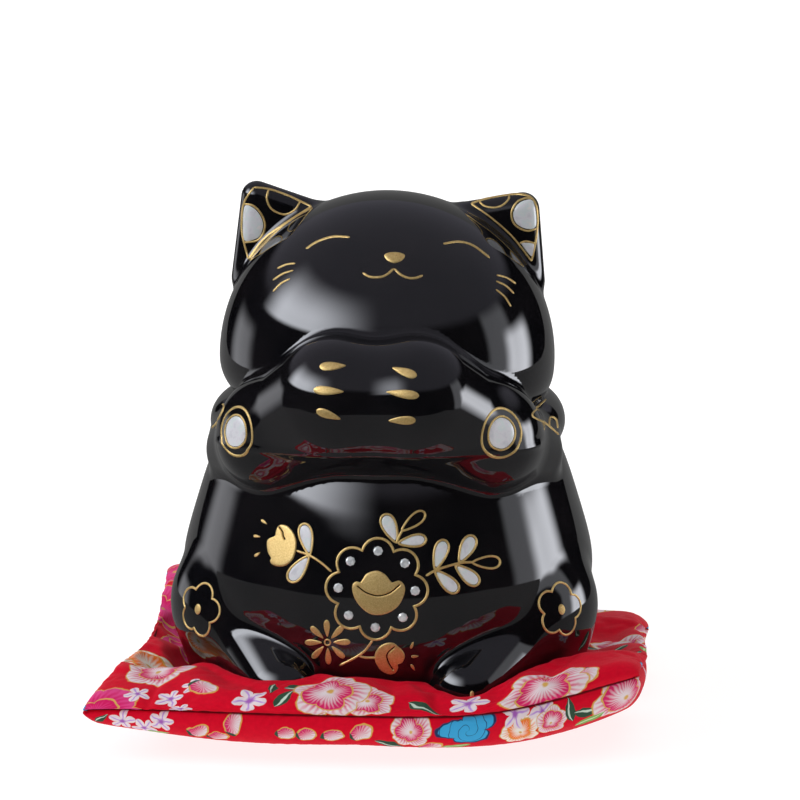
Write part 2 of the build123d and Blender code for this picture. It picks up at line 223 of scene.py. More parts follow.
def skin_of(f, low, high, step):
    """Quads over the surface of a field: one vertex in each cell that it crosses, one quad over each crossed edge."""
    axes = [np.arange(a, b + step, step) for a, b in zip(low, high)]
    nx, ny, nz = (len(a) for a in axes)
    value = np.empty((nx, ny, nz), np.float32)
    slab = 8  # rows of the grid worked out at a time, to save memory
    for i in range(0, nx, slab):
        block = np.stack(np.meshgrid(axes[0][i:i + slab], axes[1], axes[2], indexing="ij"), -1)
        value[i:i + slab] = f(block.reshape(-1, 3).astype(np.float32)).reshape(block.shape[:3])
    solid = value < 0
    total = np.zeros((nx - 1, ny - 1, nz - 1, 3), np.float32)
    count = np.zeros((nx - 1, ny - 1, nz - 1), np.int32)

    def cell_beside(at, others, back):
        cell = at.copy()
        cell[:, others] -= back
        return cell

    crossings = []
    for axis in range(3):
        lower, upper = (tuple(cut if k == axis else slice(None) for k in range(3))
                        for cut in (slice(0, -1), slice(1, None)))
        crossed = solid[lower] != solid[upper]
        t = np.where(crossed, value[lower] / np.where(crossed, value[lower] - value[upper], 1), 0)
        at = np.stack(np.nonzero(crossed), 1)
        along = tuple(at.T)
        point = at.astype(np.float32)
        point[:, axis] += t[along]
        others = [k for k in range(3) if k != axis]
        for back in ((0, 0), (0, 1), (1, 0), (1, 1)):
            cell = cell_beside(at, others, back)
            keep = ((cell >= 0) & (cell < np.array(count.shape))).all(1)
            where = tuple(cell[keep].T)
            np.add.at(total, where, point[keep])
            np.add.at(count, where, 1)
        crossings.append((at, others, solid[lower][along]))
    used = count > 0
    number = np.full(count.shape, -1, np.int64)
    number[used] = np.arange(used.sum())
    points = total[used] / count[used][:, None] * step + np.array(low, np.float32)
    quads = []
    for axis, (at, others, inward) in enumerate(crossings):
        face = np.stack([number[tuple(cell_beside(at, others, back).T)]
                         for back in ((0, 0), (1, 0), (1, 1), (0, 1))], 1)
        turn = inward if axis != 1 else ~inward
        quads.append(np.where(turn[:, None], face, face[:, ::-1]))
    return points.astype(np.float64), np.concatenate(quads)


# ---------------------------------------------------------------- meshes
def mesh_object(name, points, faces, local=True, smooth=True):
    """A mesh object from points in millimetres: in the cat's frame, or in the row frame if not local."""
    points = (np.asarray(points, float) + (CAT if local else 0)) / 1000
    mesh = bpy.data.meshes.new(name)
    mesh.from_pydata(points.tolist(), [], [list(map(int, f)) for f in faces])
    mesh.polygons.foreach_set("use_smooth", [smooth] * len(mesh.polygons))
    mesh.update()
    thing = bpy.data.objects.new(name, mesh)
    bpy.context.scene.collection.objects.link(thing)
    return thing


def lattice(rows, columns, closed=False):
    """Quads that join each row of points to the next one, and the last row to the first if closed."""
    return [(i * columns + j, (i + 1) % rows * columns + j, (i + 1) % rows * columns + j + 1, i * columns + j + 1)
            for i in range(rows if closed else rows - 1) for j in range(columns - 1)]


class Parts:
    """Points and faces of several bits gathered into one mesh."""

    def __init__(self):
        self.points, self.faces = [], []

    def add(self, points, faces):
        start = sum(len(p) for p in self.points)
        self.points.append(points)
        self.faces += [[start + i for i in f] for f in faces]

    def object(self, name, smooth=True):
        return mesh_object(name, np.concatenate(self.points), self.faces, smooth=smooth)


class Plane:
    """A flat drawing sheet in front of the cat; drawings are pushed straight back from it onto the glaze."""

    def __init__(self, turn=VIEW_TURN, rise=VIEW_RISE, origin=(0, 0, 0)):
        t, e = math.radians(turn), math.radians(rise)
        self.out = np.array([math.sin(t) * math.cos(e), -math.cos(t) * math.cos(e), math.sin(e)])
        self.right = np.array([math.cos(t), math.sin(t), 0])
        self.up = np.cross(self.out, self.right)
        self.origin = np.array(origin, float)

    def onto(self, uv, start):
        """Points on the glaze behind the drawn points, and the way the glaze faces there. A point drawn just past the
        cat's outline goes to the nearest glaze."""
        uv = np.asarray(uv, float)
        p = self.origin + uv[:, :1] * self.right + uv[:, 1:] * self.up + start * self.out
        best, closest = p.copy(), np.full(len(p), 1e9)
        for _ in range(70):
            gap = clay(p)
            nearer = gap < closest
            best[nearer], closest[nearer] = p[nearer], gap[nearer]
            if ((gap < 0.01) | (gap > closest + 12)).all():
                break
            p = p - np.clip(gap, 0, 30)[:, None] * self.out * 0.95
        missed = closest > 0.01
        if missed.any():
            best[missed] = settle(clay, best[missed], 6)
        return best, unit(slope_of(clay, best))

    def facing(self, u, v):
        """A new sheet square to the glaze at a drawn point, with its origin there."""
        p, n = self.onto([(u, v)], FAR)
        turn = math.degrees(math.atan2(n[0, 0], -n[0, 1]))
        rise = math.degrees(math.asin(n[0, 2]))
        return Plane(turn, rise, p[0])


FRONT = Plane()
FAR, NEAR = 140.0, 9.0  # how far before a sheet the drawing starts on its way back to the glaze
SUNK = 0.12  # how deep the rim of a line or a fill goes into the glaze


def even(points, step=0.45, closed=False):
    """A smooth curve through points, cut into even steps."""
    points = np.asarray(points, float)
    if closed:
        ring = np.vstack([points[-2:], points, points[:3]])
    else:
        ring = np.vstack([2 * points[0] - points[1], points, 2 * points[-1] - points[-2]])
    fine = []
    count = len(ring) - 3 if not closed else len(points)
    first = 0 if not closed else 1
    for i in range(first, first + count):
        a, b, c, d = ring[i:i + 4]
        for t in np.linspace(0, 1, 24, endpoint=False):
            fine.append(0.5 * (2 * b + (c - a) * t + (2 * a - 5 * b + 4 * c - d) * t ** 2
                               + (3 * b - a - 3 * c + d) * t ** 3))
    if not closed:
        fine.append(points[-1])
    fine = np.array(fine)
    if closed:
        fine = np.vstack([fine, fine[:1]])
    along = np.concatenate([[0], np.cumsum(np.linalg.norm(np.diff(fine, axis=0), axis=1))])
    wanted = np.linspace(0, along[-1], max(4, int(along[-1] / step) + 1))
    out = np.stack([np.interp(wanted, along, fine[:, k]) for k in (0, 1)], 1)
    return out[:-1] if closed else out


def line(parts, points, width, height, plane=FRONT, closed=False, curved=True, near=FAR):
    """A raised line of enamel along a drawn curve."""
    path = even(points, closed=closed) if curved else np.asarray(points, float)
    ahead = np.roll(path, -1, 0) - np.roll(path, 1, 0)
    if not closed:
        ahead[0], ahead[-1] = path[1] - path[0], path[-1] - path[-2]
    ahead = unit(ahead)
    side = np.stack([-ahead[:, 1], ahead[:, 0]], 1)
    reach = np.ones(len(path))
    if not closed:
        along = np.concatenate([[0], np.cumsum(np.linalg.norm(np.diff(path, axis=0), axis=1))])
        end = np.minimum(along, along[-1] - along)
        reach = np.sqrt(np.clip(1 - (1 - np.clip(end / width, 0, 1)) ** 2, 0.03, 1))
    rows = []
    for a in np.linspace(-1, 1, 7):
        p, n = plane.onto(path + side * (a * reach * width / 2)[:, None], near)
        rise = height * reach * math.sqrt(max(0, 1 - a * a)) - (SUNK if abs(a) == 1 else 0)
        rows.append(p + n * np.reshape(rise, (-1, 1)))
    grid = np.stack(rows, 1)
    parts.add(grid.reshape(-1, 3), lattice(*grid.shape[:2], closed))


def patch(parts, outline, height, plane=FRONT, centre=None, swell=None, rings=7, near=FAR, soft=5.0):
    """A raised fill inside a drawn outline that can be seen whole from its centre."""
    outline = np.asarray(outline, float)
    centre = outline.mean(0) if centre is None else np.asarray(centre, float)
    rows = []
    for s in np.linspace(1, 0, rings, endpoint=False):
        uv = centre + (outline - centre) * s
        p, n = plane.onto(uv, near)
        rise = height * math.sqrt(max(0, 1 - s ** soft)) - (SUNK if s == 1 else 0)
        if swell is not None:
            rise = rise + swell(uv - centre, s)
        rows.append(p + n * np.reshape(rise * np.ones(len(p)), (-1, 1)))
    p, n = plane.onto(centre[None], near)
    middle = p + n * (height + (swell(np.zeros((1, 2)), 0)[0] if swell is not None else 0))
    grid = np.stack(rows, 1)
    count, deep = grid.shape[:2]
    faces = lattice(count, deep, True)
    faces += [(i * deep + deep - 1, (i + 1) % count * deep + deep - 1, count * deep) for i in range(count)]
    parts.add(np.vstack([grid.reshape(-1, 3), middle]), faces)


def ring(radius, count, centre=(0, 0), squash=1.0, turn=0.0):
    a = np.linspace(0, 2 * math.pi, count, endpoint=False)
    q = np.stack([radius * np.cos(a), radius * squash * np.sin(a)], 1)
    c, s = math.cos(math.radians(turn)), math.sin(math.radians(turn))
    return q @ np.array([[c, s], [-s, c]]) + np.asarray(centre, float)


def leaf_outline(root, tip, width, inset=0.0, count=40):
    """A leaf that is pointed at its root and round at its tip."""
    root, tip = np.asarray(root, float), np.asarray(tip, float)
    along = tip - root
    length = np.linalg.norm(along)
    along /= length
    side = np.array([-along[1], along[0]])
    t = np.linspace(0, 2 * math.pi, count, endpoint=False)
    s = (1 - np.cos(t)) / 2
    w = (width / 2 - inset) * np.sin(t) * (0.45 + 0.75 * s)
    span = inset * 1.6 + s * (length - inset * 2.6)
    return root + span[:, None] * along + w[:, None] * side


# ---------------------------------------------------------------- materials
def give(tree, thing, values):
    """Sets a node's properties and inputs, with _ for each space in a name. A socket is linked to its input."""
    for key, value in values.items():
        slot = key.replace("_", " ") if isinstance(key, str) else key
        if isinstance(slot, str) and slot not in thing.inputs:
            setattr(thing, key, value)
        elif isinstance(value, bpy.types.NodeSocket):
            tree.links.new(value, thing.inputs[slot])
        else:
            thing.inputs[slot].default_value = value
    return thing


def node(tree, kind, *values, **named):
    """A new shader node, with values for its first inputs and for the named ones."""
    return give(tree, tree.nodes.new("ShaderNode" + kind), {**named, **dict(enumerate(values))})


def feed(tree, **named):
    """Sets or links inputs of the Principled shader."""
    give(tree, tree.nodes["Principled BSDF"], named)


def shader(name, **settings):
    """A new material with its Principled shader set; returns it and its node tree."""
    mat = bpy.data.materials.new(name)
    mat.use_nodes = True
    feed(mat.node_tree, **settings)
    return mat, mat.node_tree


def ramp(tree, value, stops):
    """The colour that a value takes between stops."""
    made = node(tree, "ValToRGB", value)
    while len(made.color_ramp.elements) < len(stops):
        made.color_ramp.elements.new(0.5)
    for element, (at, colour) in zip(made.color_ramp.elements, stops):
        element.position = at
        element.color = (*colour, 1)
    return made.outputs["Color"]


def place_of(tree):
    return node(tree, "NewGeometry").outputs["Position"]


def bumped(tree, height, strength, distance):
    bump = node(tree, "Bump", Strength=strength, Distance=distance, Height=height)
    feed(tree, Normal=bump.outputs["Normal"])


def grained(name, noise, tones, rough=None, bump=None, **settings):
    """A material whose colour follows a noise through space, and its roughness (low, high) and bump (strength,
    distance) too if they are asked for. Returns it and its node tree."""
    mat, tree = shader(name, **settings)
    grain = node(tree, "TexNoise", Vector=place_of(tree), **noise).outputs["Fac"]
    feed(tree, Base_Color=ramp(tree, grain, tones))
    if rough:
        feed(tree, Roughness=node(tree, "MapRange", Value=grain, To_Min=rough[0], To_Max=rough[1]).outputs["Result"])
    if bump:
        bumped(tree, grain, *bump)
    return mat, tree


def glaze():
    """Black glaze: deep and wet, with a slow ripple where it ran."""
    mat, tree = grained("black_glaze", {"Scale": 38.0, "Detail": 3.0},
                        [(0.35, (0.004, 0.004, 0.005)), (0.75, (0.009, 0.008, 0.009))], (0.025, 0.055), IOR=1.56,
                        Coat_Weight=0.5, Coat_Roughness=0.02)
    flow = node(tree, "TexNoise", Vector=place_of(tree), Scale=22.0, Detail=1.0)
    bumped(tree, flow.outputs["Fac"], 0.06, 0.0012)
    return mat


def pearl():
    """Mother-of-pearl: colours that drift slowly over small flakes."""
    mat, tree = grained("pearl_inlay", {"Scale": 240.0, "Detail": 2.0},
                        [(0.3, (0.56, 0.56, 0.6)), (0.45, (0.68, 0.67, 0.7)), (0.6, (0.62, 0.68, 0.68)),
                         (0.7, (0.74, 0.7, 0.69))], Roughness=0.3, Coat_Weight=0.6, Coat_Roughness=0.08)
    flake = node(tree, "TexVoronoi", Vector=place_of(tree), Scale=1500.0)
    bumped(tree, node(tree, "SeparateColor", flake.outputs["Color"]).outputs["Green"], 0.2, 0.00012)
    return mat


GLAZE, PEARL = glaze(), pearl()
GOLD = grained("gold_lustre", {"Scale": 1800.0, "Detail": 3.0, "Roughness": 0.6},
               [(0.3, (0.7, 0.47, 0.16)), (0.55, (0.86, 0.62, 0.25)), (0.8, (0.98, 0.78, 0.4))], (0.4, 0.56),
               (0.3, 0.00012), Metallic=0.8)[0]
CRYSTAL = grained("clear_crystal", {"Scale": 700.0, "Detail": 1.0},
                  [(0.35, (0.6, 0.64, 0.66)), (0.6, (0.88, 0.9, 0.9))], Metallic=0.35, Roughness=0.12,
                  Coat_Weight=1.0)[0]
RUBBER = grained("soft_rubber", {"Scale": 160.0, "Detail": 4.0}, [(0.3, (0.62, 0.6, 0.54)), (0.7, (0.74, 0.72, 0.66))],
                 bump=(0.3, 0.0003), Roughness=0.62)[0]


# ---------------------------------------------------------------- the glazed body
def finish_piece(thing, material, slot, *cad_nodes):
    thing.data.materials.append(material)
    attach(thing, "cat")
    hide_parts(*cad_nodes)


SKIN_LOW, SKIN_HIGH = (-97, -106, -3), (97, 101, 217)  # a box round the clay
SKIN_STEP = 1.3
points, quads = skin_of(clay, SKIN_LOW, SKIN_HIGH, SKIN_STEP)
points = settle(clay, points)
body = mesh_object("glazed_body", points, quads)
body.data.normals_split_custom_set_from_vertices(unit(slope_of(clay, points)).tolist())
finish_piece(body, GLAZE, "black_glaze", "torso_shell", "head_shell", "arm_left", "arm_right", "leg_left",
             "leg_right", "ear_left", "ear_right", "tail", "shawl")
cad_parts["stopper"].data.materials.clear()
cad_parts["stopper"].data.materials.append(RUBBER)


# ---------------------------------------------------------------- gold, pearl and crystals
IN_GOLD, IN_PEARL, IN_CRYSTAL = (GOLD, "gold_lustre"), (PEARL, "pearl_inlay"), (CRYSTAL, "clear_crystal")


def decorate(name, draw, *shapes, finish=IN_GOLD, smooth=True, **options):
    """One decoration node: what draw puts into a Parts becomes the piece that stands for the CAD node."""
    parts = Parts()
    draw(parts, *shapes, **options)
    finish_piece(parts.object(name + "_relief", smooth), *finish, name)


MEDALLION = np.array([-4.3, 39.4])
STONES, FIRST_STONE = 8, 88  # how many, and the bearing of the first one in degrees


def spoke(angles):
    """Unit steps from a middle at each angle."""
    return np.stack([np.cos(angles), np.sin(angles)], -1)


def lobed(lobe_at, lobe_r, count, steps, first):
    """The outline of a ring of round lobes, from the bearing of the first one in degrees."""
    a = np.linspace(0, 2 * math.pi, steps, endpoint=False)
    off = (a + math.pi / count) % (2 * math.pi / count) - math.pi / count
    r = lobe_at * np.cos(off) + np.sqrt(lobe_r ** 2 - (lobe_at * np.sin(off)) ** 2)
    return r[:, None] * spoke(a + math.radians(first))


# Root, tip and width of each leaf, from the middle of the medallion
LEAVES = [((23.9, 8.2), (27.7, 19.9), 6.2), ((23.9, 7.4), (33.0, -1.2), 6.0), ((33.9, 10.9), (39.5, 21.4), 6.4),
          ((32.3, 9.5), (41.6, 1.8), 6.0), ((-27.5, 13.9), (-30.0, 26.4), 6.2), ((-27.9, 13.2), (-35.8, 2.9), 6.4),
          ((8.0, 19.2), (3.1, 30.4), 6.6), ((9.0, 18.8), (20.1, 20.4), 5.4)]
OPEN_LEAVES = [((39.3, 10.6), (50.6, 10.5), 5.6), ((10.4, 24.0), (19.4, 31.2), 5.2)]
STEMS = [[(20.0, 5.4), (24.8, 8.0), (33.5, 10.4), (39.4, 10.8)],
         [(-18.4, 7.0), (-22.4, 10.4), (-27.4, 13.5), (-33.0, 15.4)],
         [(7.9, 18.6), (9.2, 21.6), (10.6, 24.2)], [(-1.6, -21.0), (-5.0, -25.6), (-9.4, -28.8), (-15.4, -32.0)],
         [(-7.6, -27.6), (-4.6, -28.4), (-0.4, -28.4)]]
SPARKS = [(-46.6, 26.8, -35), (-49.6, 20.8, -6), (-49.4, 13.4, 35), (14.4, -23.2, 68), (15.6, -27.9, 6),
          (14.8, -32.6, -58)]
BUD_LEFT, BUD_LOW, DAISY = (-39.1, 17.3), (5.2, -28.7), (-20.2, -22.2)
LEFT_BUD = [(0.2, 8.7), (2.4, 8.1), (4.8, 5.6), (6.2, 1.6), (5.8, -2.8), (4.4, -6.0), (1.5, -8.2), (-1.5, -8.6),
            (-4.0, -7.8), (-4.9, -6.6), (-4.3, -5.6), (-5.8, -2.8), (-6.2, 0.9), (-5.4, 2.7), (-2.8, 4.0), (-2.4, 5.6),
            (-1.9, 7.2), (-1.1, 8.3)]
LOW_BUD = [(-5.4, 3.3), (-3.6, 5.4), (-0.7, 6.7), (1.8, 6.5), (3.4, 5.2), (5.1, 3.6), (6.3, 1.1), (5.4, -1.6),
           (3.5, -2.6), (3.6, -4.0), (2.5, -6.2), (0, -6.9), (-3.4, -5.3), (-5.7, -1.8), (-6.1, 1.1)]
INGOT = [(-8.7, 3.6), (-7.0, 3.3), (-6.1, 4.3), (-4.2, 6.9), (-0.2, 8.1), (3.2, 6.6), (5.4, 3.9), (6.4, 3.3),
         (9.2, 4.0), (11.3, 1.6), (10.9, -2.2), (8.6, -6.5), (4.6, -9.3), (0.4, -10.2), (-3.6, -9.4), (-7.7, -5.8),
         (-9.9, -1.5), (-10.2, 2.0)]


def at_medallion(points):
    return MEDALLION + np.asarray(points, float)


def badge(parts, at, outline, groove):
    """A flat gold relief with one engraved line that goes down to the black glaze."""
    cut = even(groove, 0.2)

    def swell(uv, _):
        near = np.sqrt(((uv[:, None] - cut[None]) ** 2).sum(2)).min(1)
        return -0.75 * np.exp(-(near / 0.34) ** 4)

    patch(parts, at_medallion(at) + even(outline, 0.35, closed=True), 0.5, swell=swell, rings=34,
          centre=at_medallion(at), soft=24)


def crystals(parts):
    """Flat-backed stones: a table, a ring of kites under it and a ring of wedges at the girdle."""
    sides = 8
    for i in range(STONES):
        a = math.radians(FIRST_STONE + 360 / STONES * i)
        seat = FRONT.facing(*(MEDALLION + 15.6 * spoke(a)))
        levels = []
        for radius, rise, turn in ((2.0, 0.0, 0), (2.0, 0.4, 0), (1.8, 0.7, 180 / sides), (1.35, 0.95, 0)):
            q = ring(radius, sides, turn=turn)
            levels.append(seat.origin + q[:, :1] * seat.right + q[:, 1:] * seat.up + rise * seat.out)
        points = np.vstack(levels + [(seat.origin + rise * seat.out)[None]])
        faces = []
        for low in (0, sides, 2 * sides):
            high = low + sides
            for k in range(sides):
                k1 = (k + 1) % sides
                a0, b1 = (k, k1) if low == 2 * sides else (k1, k)  # the top ring's cuts lean the other way
                faces += [(low + k, low + k1, high + b1), (low + a0, high + k1, high + k)]
        faces += [(3 * sides + k, 3 * sides + (k + 1) % sides, 4 * sides) for k in range(sides)]
        parts.add(points, faces)


def haunch_flower(parts, u, v):
    sheet = FRONT.facing(u, v)
    line(parts, lobed(6.4, 5.0, 5, 120, 90 - 14), 1.1, 0.3, sheet, closed=True, near=NEAR, curved=False)
    patch(parts, ring(1.8, 20, squash=1.3), 0.3, sheet, near=NEAR)


def round_inlay(parts, radius, u, v):
    patch(parts, ring(radius, 40), 0.3, FRONT.facing(u, v), near=NEAR)


def strokes(parts, *curves, width=0.8, height=0.3):
    for curve in curves:
        line(parts, curve, width, height)


def leaf_lines(parts, shapes, inset=0.0, centre=(0, 0)):
    for root, tip, width in shapes:
        outline = leaf_outline(np.add(root, centre), np.add(tip, centre), width, inset)
        line(parts, outline, 1.0, 0.34, closed=True, curved=False)


def leaf_fills(parts, shapes, inset=0.0, height=0.3, centre=(0, 0)):
    for root, tip, width in shapes:
        patch(parts, leaf_outline(np.add(root, centre), np.add(tip, centre), width, inset), height)


def rays(parts, *marks):
    """Leaves that lie along a ray: the middle they start from, the bearing, how far out each end is and how wide."""
    for middle, turn, root, tip, width in marks:
        out = spoke(math.radians(turn))
        leaf_fills(parts, [(middle + root * out, middle + tip * out, width)], centre=MEDALLION)


def inlay(parts, *outlines):
    for outline in outlines:
        patch(parts, even(outline, 0.5, closed=True), 0.28)


SCALLOPS = MEDALLION + lobed(14.3, 6.5, STONES, 160, FIRST_STONE)
decorate("medallion_rim", line, SCALLOPS, 1.2, 0.4, closed=True, curved=False)
decorate("medallion_crystals", crystals, finish=IN_CRYSTAL, smooth=False)
decorate("ingot_badge", badge, (0.2, -0.4), INGOT, [(-8.0, 1.7), (-4.4, -0.9), (0.5, -2.2), (5.2, -0.9), (9.0, 2.2)])
decorate("bud_badge_left", badge, BUD_LEFT, LEFT_BUD, [(-0.9, 7.4), (0.4, 5.6), (0.7, 3.9), (1.4, 2.6)])
decorate("bud_badge_low", badge, BUD_LOW, LOW_BUD, [(2.0, 4.9), (-0.9, 2.0), (-0.6, -1.2), (1.3, -4.6)])
decorate("sprig_stems", strokes, *[at_medallion(points) for points in STEMS], width=1.1, height=0.4)
decorate("leaf_rims", leaf_lines, LEAVES + OPEN_LEAVES, centre=MEDALLION)
decorate("leaf_inlays", leaf_fills, LEAVES, inset=0.4, centre=MEDALLION, finish=IN_PEARL)
decorate("daisy_ring", line, at_medallion(ring(1.2, 24, DAISY)), 0.7, 0.3, closed=True)
decorate("daisy_petals", rays, *[(DAISY, 92 + 45 * i, 2.2, 9.6, 3.0) for i in range(8)])
decorate("spark_strokes", rays, *[((x, y), turn, 1.6, -1.6, 1.4) for x, y, turn in SPARKS])
decorate("haunch_flower_left", haunch_flower, -79.5, 28.9)
decorate("haunch_flower_right", haunch_flower, 72.5, 29.4)

# Root, tip and width of the claw marks on each paw, and on the toes under it
CLAWS = {
    "left": [((-16.3, 130.3), (-27.3, 129.9), 4.2), ((-17.1, 119.8), (-29.7, 120.6), 4.2),
             ((-18.4, 108.8), (-28.5, 112.4), 4.0), ((-35.5, -4.6), (-35.1, 0.2), 1.9),
             ((-30.6, -6.2), (-30.3, -1.4), 1.9)],
    "right": [((1.9, 129.5), (12.1, 126.0), 4.2), ((-0.5, 119.8), (13.1, 118.1), 4.2),
              ((0.3, 108.2), (11.7, 108.4), 4.0), ((34.4, -6.6), (34.6, -1.9), 1.9),
              ((39.5, -8.6), (39.8, -3.8), 1.9)],
}
BADGE = {"left": (-62.6, 103.6), "right": (46.6, 103.0)}
SHAWL_TIPS = {
    "left": [[(-70.6, 114.6), (-67.8, 114.2), (-69.8, 109.4), (-74.4, 104.6)]],
    "right": [[(67.3, 116.9), (64.2, 114.4), (59.5, 110.2), (66.3, 106.6), (72.2, 101.8)],
              [(67.6, 105.6), (68.4, 109.2), (71.0, 108.4), (71.8, 104.6)]],
}


def arm_ring(parts, side):
    """A round line with a thinner one inside it, and the shawl's edge behind it."""
    sheet = FRONT.facing(*BADGE[side])
    for radius, count, width, height in ((10.1, 90, 1.2, 0.3), (10.1 * 0.68, 60, 0.9, 0.34)):
        line(parts, ring(radius, count), width, height, sheet, closed=True, near=NEAR, curved=False)
    strokes(parts, *SHAWL_TIPS[side])


for side in ("left", "right"):
    decorate(f"claw_marks_{side}", leaf_fills, CLAWS[side], height=0.35)
    decorate(f"arm_ring_{side}", arm_ring, side)
    decorate(f"arm_inlay_{side}", round_inlay, 6.6, *BADGE[side], finish=IN_PEARL)

NOSE = [(-1.4, 176.2), (0.6, 177.2), (3.0, 177.4), (5.4, 177.1), (7.4, 176.0), (6.2, 173.8), (3.0, 172.6),
        (-0.2, 173.8)]
decorate("nose_badge", patch, even(NOSE, 0.4, closed=True), 0.5)
decorate("mouth_line", strokes, [(-10.1, 168.6), (-7.8, 167.2), (-5, 166.7), (-1.0, 167.4), (2.8, 170.4)],
         [(2.8, 170.4), (5.4, 167.9), (8.5, 166.5), (11.6, 166.5), (14.6, 167.6)], width=1.1)
decorate("eye_line_left", strokes, [(-33.8, 179.2), (-29.1, 182.2), (-22.4, 184.2), (-15.4, 183.8)], width=1.0)
decorate("eye_line_right", strokes, [(23.0, 181.1), (29.7, 182.2), (35.8, 180.6), (42.6, 175.6)], width=1.0)
decorate("whiskers_left", strokes, [(-45.8, 171.2), (-42, 172.7), (-38.1, 173.1)],
         [(-47.6, 166.2), (-43.4, 168.8), (-38.8, 170.2)], [(-47.4, 161.4), (-44.2, 164.6), (-40.2, 166.7)])
decorate("whiskers_right", strokes, [(45.2, 168.4), (49.6, 167.4), (53.6, 165.0)],
         [(45.0, 165.8), (49.0, 164.0), (52.6, 160.8)], [(44.8, 162.3), (48.4, 159.4), (51.2, 155.2)])

LEFT_EAR = [[(-32.3, 198.8), (-42.3, 203.6), (-50.6, 206.4), (-57.0, 207.2)],
            [(-57.0, 207.2), (-61.4, 200.6), (-62.4, 193), (-62.1, 186.7), (-59.6, 176.6)],
            [(-59.6, 176.6), (-55.7, 182), (-51.2, 186.7), (-43.8, 191.7), (-32.3, 198.8)],
            [(-50.9, 206.3), (-51.5, 202), (-49.4, 197.8), (-44.3, 195.6), (-39.8, 197.3), (-37.2, 201.2)],
            [(-61.4, 200.2), (-57.2, 199.2), (-53.9, 195.7), (-52.4, 191.2), (-53.6, 186.7), (-56.3, 184.4),
             (-61.6, 183.8)]]
RIGHT_EAR = [[(35.3, 200.1), (42.6, 202.4), (51.2, 203.9), (56, 204), (60.5, 202.7), (62.8, 199.5), (63.7, 193.5),
              (63.3, 187.6), (62.7, 183.1), (61.1, 175.4)],
             [(61.1, 175.4), (53.3, 185.3), (45.6, 192.4), (35.3, 200.1)],
             [(38.8, 201.0), (41.1, 198.9), (45, 198.1), (48.6, 199.1), (51.2, 201.6), (51.6, 203.7)],
             [(61.6, 202.0), (58.0, 202.0), (54.5, 200.1), (52.4, 195.5), (53.9, 190.9), (58.7, 188.3), (63.2, 189.2)],
             [(55.9, 183.0), (58.7, 183.8), (62.7, 183.0)]]
decorate("ear_rim_left", strokes, *LEFT_EAR, width=0.95)
decorate("ear_rim_right", strokes, *RIGHT_EAR, width=0.95)
decorate("ear_inlay_left", inlay, [(-61.2, 199.6), (-57.4, 198.8), (-54.3, 195.5), (-52.9, 191.2), (-54, 187),
                                   (-56.5, 184.9), (-61.4, 184.4), (-62.1, 192)], finish=IN_PEARL)
decorate("ear_inlay_right", inlay, [(61.6, 201.4), (58.2, 201.5), (54.9, 199.7), (52.9, 195.5), (54.3, 191.2),
                                    (58.7, 188.9), (62.8, 189.6), (63.3, 195)],
         [(56.6, 182.8), (58.7, 183.3), (62.2, 182.7), (61.2, 177.4)], finish=IN_PEARL)


# ---------------------------------------------------------------- cushion
def through(stops, t):
    """A smooth curve of values at rising stops."""
    return smooth_curve(np.array([s[0] for s in stops], float), np.array([s[1] for s in stops], float))(t)


# The seam, in millimetres in the row frame, along each side of the cushion: front and back from -X to +X, left and
# right from front to back.
SEAM = {
    "front": [(-1, (-113.5, -103, 21)), (-0.8, (-93, -105, 22)), (-0.4, (-48, -107.5, 22)), (0.1, (8, -108.5, 22)),
              (0.45, (50, -106, 23.5)), (0.75, (84, -96, 29)), (1, (112.5, -80, 34))],
    "back": [(-1, (-107, 108, 32)), (-0.5, (-62, 100, 24)), (0, (0, 98, 18)), (0.5, (62, 100, 13)), (1, (118, 108, 8))],
    "left": [(-1, (-113.5, -103, 21)), (-0.6, (-105.5, -57, 27)), (-0.15, (-100, -13, 30)), (0.3, (-100.3, 30, 32)),
             (1, (-107, 108, 32))],
    "right": [(-1, (113.5, -80, 34)), (-0.5, (116.5, -42, 31)), (0, (116.4, 2, 25)), (0.5, (116, 52, 18)),
              (1, (118, 108, 8))],
}
HALF_CLOTH = 126.0


def seam_at(side, t):
    return np.stack([through([(s, p[k]) for s, p in SEAM[side]], t) for k in range(3)], -1)


def coons(a, b):
    """A sheet stretched between the four seams."""
    a1, b1 = (a + 1)[..., None] / 2, (b + 1)[..., None] / 2
    front, back, left, right = seam_at("front", a), seam_at("back", a), seam_at("left", b), seam_at("right", b)
    near_left, near_right, far_left, far_right = (
        seam_at(side, np.full(a.shape, end)) for side in ("front", "back") for end in (-1.0, 1.0))
    flat = ((1 - a1) * (1 - b1) * near_left + a1 * (1 - b1) * near_right + (1 - a1) * b1 * far_left
            + a1 * b1 * far_right)
    return front * (1 - b1) + back * b1 + left * (1 - a1) + right * a1 - flat


ROLL = 13.0  # radius of the round edge of the upper panel
TUCK = [(0, 0), (6, 1.2), (12, 4.5), (20, 11.5), (40, 31), (70, 61), (HALF_CLOTH, 117)]
TUCK_DROP = [(0, 0), (6, 0.29), (12, 0.52), (20, 0.65), (40, 0.82), (70, 1), (HALF_CLOTH, 1)]
GROOVE, GROOVE_WIDE = 3.4, 5.0  # how deep the seam is drawn in, and over how much cloth


def rolled(w):
    """Cloth that leaves a seam over a round edge: how far in and how high it gets, after so much cloth."""
    turn = np.clip(w / ROLL, 0, math.pi / 2)
    inset = ROLL * (1 - np.cos(turn)) + np.maximum(w - ROLL * math.pi / 2, 0)
    return inset, np.sin(turn)


def tucked(w):
    """Cloth that leaves a seam downwards, turns under and comes to rest on the table well inside the seam."""
    w = np.asarray(w, float)
    return through(TUCK, w), through(TUCK_DROP, w)


def hump(x, at, wide):
    return np.exp(-((x - at) / wide) ** 2)


def share(x, start, length):
    """0 before start, 1 after start plus length, rising evenly between them. length is negative for a fall."""
    return np.clip((x - start) / length, 0, 1)


